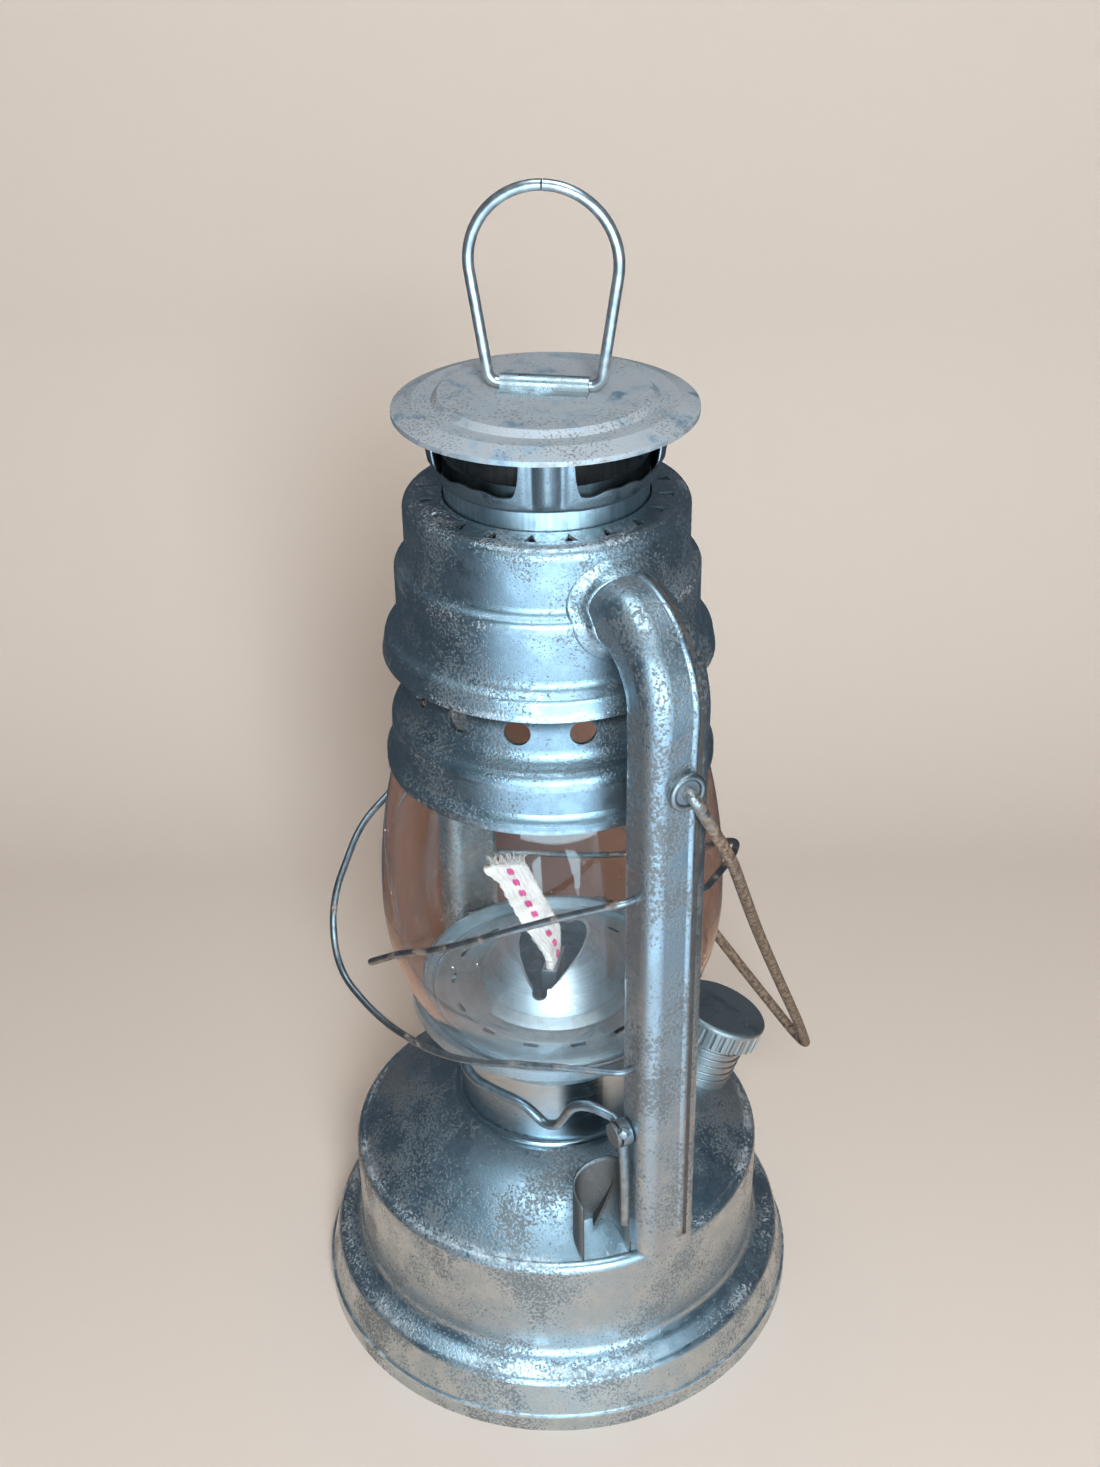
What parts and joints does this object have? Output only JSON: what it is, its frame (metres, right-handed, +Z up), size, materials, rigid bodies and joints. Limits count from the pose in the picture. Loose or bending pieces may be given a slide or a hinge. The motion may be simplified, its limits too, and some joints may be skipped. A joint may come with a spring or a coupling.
{
  "type": "tubular kerosene lantern",
  "caption": "Small tin kerosene lantern with a glass globe between side tubes, a flat-wick burner on a domed tank, a lift lever, a hanging ring and a wire bail.",
  "frame": {"origin": "centre of the base ring, on the floor", "axes": "+Z up along the lantern's axis, +X towards the tube with the lift lever, +Y towards the filler and the hanging bail"},
  "size_m": [0.11, 0.1265, 0.2575],
  "materials": {
    "tin_plate": "worn tinned sheet with grey mottling",
    "bright_tin": "brushed bright tinned sheet",
    "brass": "plain",
    "galvanised_wire": "galvanised wire",
    "dark_wire": "dark bare wire",
    "rusty_wire": "wire with brown rust",
    "clear_glass": "clear",
    "cotton": "woven cotton tape",
    "cork": "pressed cork"
  },
  "bodies": {
    "frame": {"tank_shell": "tin_plate", "tank_bottom": "tin_plate", "burner_collar": "bright_tin", "filler_neck": "tin_plate", "burner_body": "bright_tin", "wick_tube": "bright_tin", "hood_shell": "tin_plate", "right_tube": "tin_plate", "left_tube": "tin_plate", "right_boot": "tin_plate", "left_boot": "tin_plate", "right_eyelet": "tin_plate", "left_eyelet": "tin_plate", "front_guard": "dark_wire", "front_cross_wire": "dark_wire", "back_guard": "dark_wire", "lever_pin": "galvanised_wire", "chimney_spring": "galvanised_wire"},
    "carrier": {"globe_plate": "bright_tin", "burner_cone": "bright_tin", "glass_globe": "clear_glass"},
    "chimney": {"bell": "tin_plate", "chimney_tube": "tin_plate", "crown": "tin_plate", "cap": "tin_plate", "ring_strap": "tin_plate"},
    "hang_ring": {"ring_handle": "galvanised_wire"},
    "carry_bail": {"bail": "rusty_wire"},
    "lever": {"lift_lever": "galvanised_wire"},
    "raiser": {"wick_shaft": "bright_tin", "wick_wheel_inner": "brass", "wick_wheel_outer": "brass", "wick_knob": "bright_tin"},
    "wick_strip": {"wick": "cotton"},
    "cork_seat": {"filler_gasket": "cork"},
    "screw_cap": {"filler_cap": "tin_plate"}
  },
  "joints": [
    {"name": "globe_lift", "type": "slide", "parent": "frame", "child": "carrier", "axis": [0, 0, 1], "range_m": [0, 0.004], "deforming": ["chimney_spring"]},
    {"name": "chimney_lift", "type": "slide", "parent": "carrier", "child": "chimney", "axis": [0, 0, 1], "range_m": [0, 0.006], "deforming": ["chimney_spring"]},
    {"name": "ring_fold", "type": "hinge", "parent": "chimney", "child": "hang_ring", "pos_m": [0, 0, 0.22033], "axis": [0.6225, 0.7826, 0], "range_deg": [-85, 85]},
    {"name": "bail_swing", "type": "hinge", "parent": "frame", "child": "carry_bail", "pos_m": [0, 0, 0.1596], "axis": [1, 0, 0], "range_deg": [0, 300]},
    {"name": "lever_swing", "type": "hinge", "parent": "frame", "child": "lever", "pos_m": [0.0433, -0.0082, 0.0754], "axis": [0, 1, 0], "range_deg": [0, 6.2]},
    {"name": "wick_turn", "type": "hinge", "parent": "frame", "child": "raiser", "pos_m": [0.00275, 0.00311, 0.0748], "axis": [-0.749, 0.6626, 0], "range_deg": [-59, 118]},
    {"name": "wick_raise", "type": "slide", "parent": "frame", "child": "wick_strip", "axis": [0, 0, 1], "range_m": [-0.003, 0.006]},
    {"name": "cap_lift", "type": "slide", "parent": "frame", "child": "cork_seat", "axis": [0.0779, 0.3664, 0.9272], "range_m": [0, 0.0046]},
    {"name": "cap_turn", "type": "hinge", "parent": "cork_seat", "child": "screw_cap", "pos_m": [0.00833, 0.03917, 0.06173], "axis": [0.0779, 0.3664, 0.9272], "range_deg": [0, 540]}
  ],
  "couplings": [
    {"joint": "lever_swing", "follows": "globe_lift", "rad_per_m": 25.83},
    {"joint": "wick_turn", "follows": "wick_raise", "rad_per_m": 333.33},
    {"joint": "cap_lift", "follows": "cap_turn", "m_per_rad": 0.00047746}
  ]
}
